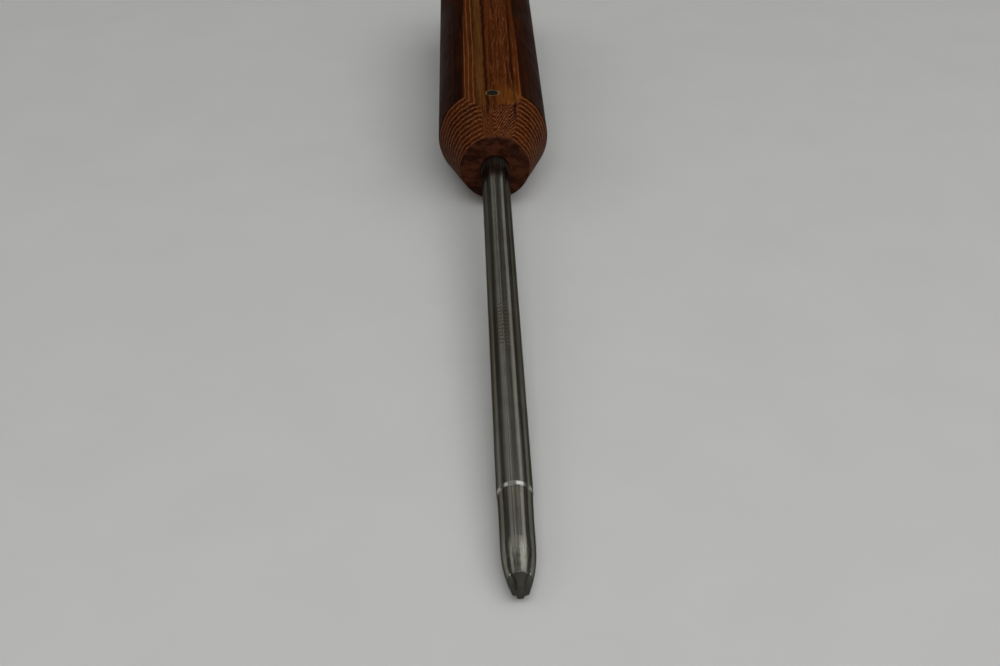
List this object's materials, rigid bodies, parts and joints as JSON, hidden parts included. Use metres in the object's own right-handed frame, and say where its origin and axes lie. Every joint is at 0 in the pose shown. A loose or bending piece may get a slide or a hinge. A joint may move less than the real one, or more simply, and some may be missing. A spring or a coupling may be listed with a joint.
{
  "type": "screwdriver",
  "caption": "Cross-point screwdriver: round steel blade with a turned-down neck, cross-pinned in a turned hardwood handle with two planed flats.",
  "frame": {"origin": "centre of the point's blunt end, on the tool's axis", "axes": "+Y along the tool's axis from the point to the handle's butt; +Z square to the handle's two planed flats, one facing +Z and one facing -Z"},
  "size_m": [0.0264, 0.257, 0.022],
  "materials": {
    "blade_steel": "ground and polished lengthwise, the point darkened",
    "handle_wood": "clear gloss varnish over dark banded hardwood",
    "pin_steel": "cut flush and sanded with the flats"
  },
  "bodies": {
    "root": {"blade": "blade_steel", "handle": "handle_wood", "cross_pin": "pin_steel"}
  },
  "joints": []
}
